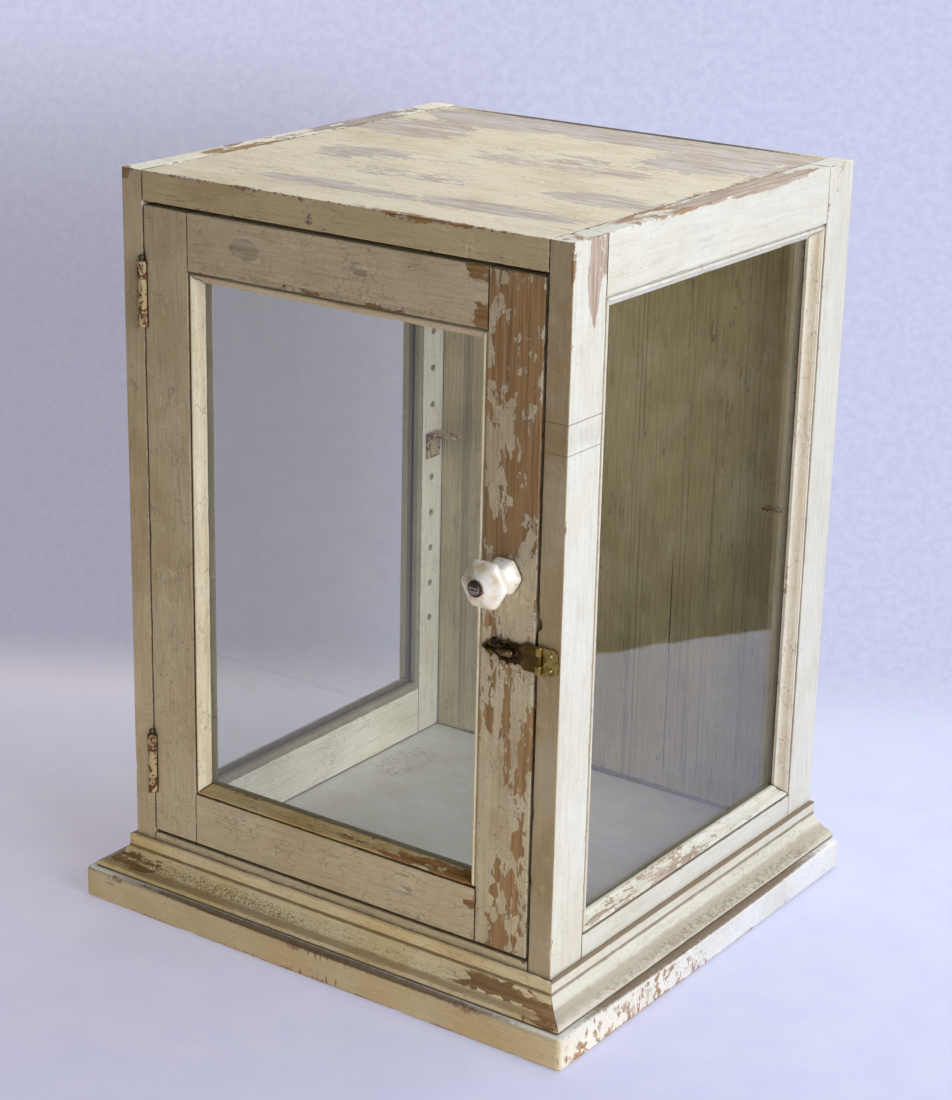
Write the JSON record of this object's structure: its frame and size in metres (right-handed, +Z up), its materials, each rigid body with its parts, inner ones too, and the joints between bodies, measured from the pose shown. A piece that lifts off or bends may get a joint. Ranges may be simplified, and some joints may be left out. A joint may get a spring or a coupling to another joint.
{
  "type": "glazed display cabinet",
  "caption": "Small countertop display cabinet: glazed wooden case on a moulded overhanging base, hinged glazed door with hex glass knob and hasp catch, peg holes and shelf brackets inside.",
  "frame": {"origin": "centre of the base board at its underside", "axes": "+X to the right seen from the front, +Y from the door to the back, +Z up"},
  "size_m": [0.444, 0.4164, 0.572],
  "materials": {
    "case_paint": "old cream oil paint on softwood, fine vertical crazing, worn to brown wood on the edges",
    "door_paint": "crazed khaki-cream paint, flaked off to orange-brown wood on the lock stile",
    "top_paint": "dull cream paint with grey weathered patches along the grain",
    "base_paint": "pale bluish white paint, scratched, with dirt in the grain",
    "moulding_paint": "satin cream paint with brown grime in the hollows",
    "back_paint": "flat olive-cream paint, split along the vertical grain",
    "stop_paint": "grey-green painted glazing stop",
    "pane": "clear old window glass, faintly green at the edges",
    "painted_hinge": "iron under worn cream paint with rust",
    "dark_steel": "dark oxidised steel",
    "milk_glass": "opaque white pressed glass, chipped and yellow-stained",
    "catch_bronze": "dark aged cast brass, olive on the plain tab",
    "catch_brass": "dull old brass"
  },
  "bodies": {
    "cabinet": {"left_front_stile": "case_paint", "left_rear_stile": "case_paint", "left_top_rail": "case_paint", "left_bottom_rail": "case_paint", "right_front_stile": "case_paint", "right_rear_stile": "case_paint", "right_top_rail": "case_paint", "right_bottom_rail": "case_paint", "threshold_rail": "case_paint", "top_board": "top_paint", "base_board": "base_paint", "cove_front": "moulding_paint", "cove_left": "moulding_paint", "cove_right": "moulding_paint", "left_moulding_top": "moulding_paint", "left_moulding_bottom": "moulding_paint", "left_moulding_front": "moulding_paint", "left_moulding_rear": "moulding_paint", "right_moulding_top": "moulding_paint", "right_moulding_bottom": "moulding_paint", "right_moulding_front": "moulding_paint", "right_moulding_rear": "moulding_paint", "back_panel": "back_paint", "left_stop": "stop_paint", "right_stop": "stop_paint", "left_glass": "pane", "right_glass": "pane", "hinge_upper_post_leaf": "painted_hinge", "hinge_lower_post_leaf": "painted_hinge", "hinge_upper_pin": "dark_steel", "hinge_lower_pin": "dark_steel", "catch_post_plate": "catch_brass", "catch_pin": "catch_brass", "catch_nail_upper": "catch_brass", "catch_nail_lower": "catch_brass"},
    "door": {"door_hinge_stile": "door_paint", "door_lock_stile": "door_paint", "door_top_rail": "door_paint", "door_bottom_rail": "door_paint", "door_moulding_top": "moulding_paint", "door_moulding_bottom": "moulding_paint", "door_moulding_left": "moulding_paint", "door_moulding_right": "moulding_paint", "door_stop": "stop_paint", "door_glass": "pane", "hinge_upper_door_leaf": "painted_hinge", "hinge_lower_door_leaf": "painted_hinge", "knob_washer": "dark_steel", "knob_bolt": "dark_steel", "knob_nut": "dark_steel", "old_nail": "dark_steel", "knob": "milk_glass", "catch_stud": "catch_brass"},
    "hasp": {"catch_tongue": "catch_bronze"},
    "left_shelf_bracket": {"shelf_bracket_left": "painted_hinge"},
    "right_shelf_bracket": {"shelf_bracket_right": "painted_hinge"}
  },
  "joints": [
    {"name": "door_swing", "type": "hinge", "parent": "cabinet", "child": "door", "pos_m": [-0.1735, -0.1767, 0.3], "axis": [0, 0, -1], "range_deg": [0, 170]},
    {"name": "hasp_swing", "type": "hinge", "parent": "cabinet", "child": "hasp", "pos_m": [0.177, -0.1772, 0.286], "axis": [0, 0, 1], "range_deg": [0, 165]},
    {"name": "left_bracket_pull", "type": "slide", "parent": "cabinet", "child": "left_shelf_bracket", "axis": [1, 0, 0], "range_m": [0, 0.012]},
    {"name": "right_bracket_pull", "type": "slide", "parent": "cabinet", "child": "right_shelf_bracket", "axis": [-1, 0, 0], "range_m": [0, 0.012]}
  ]
}
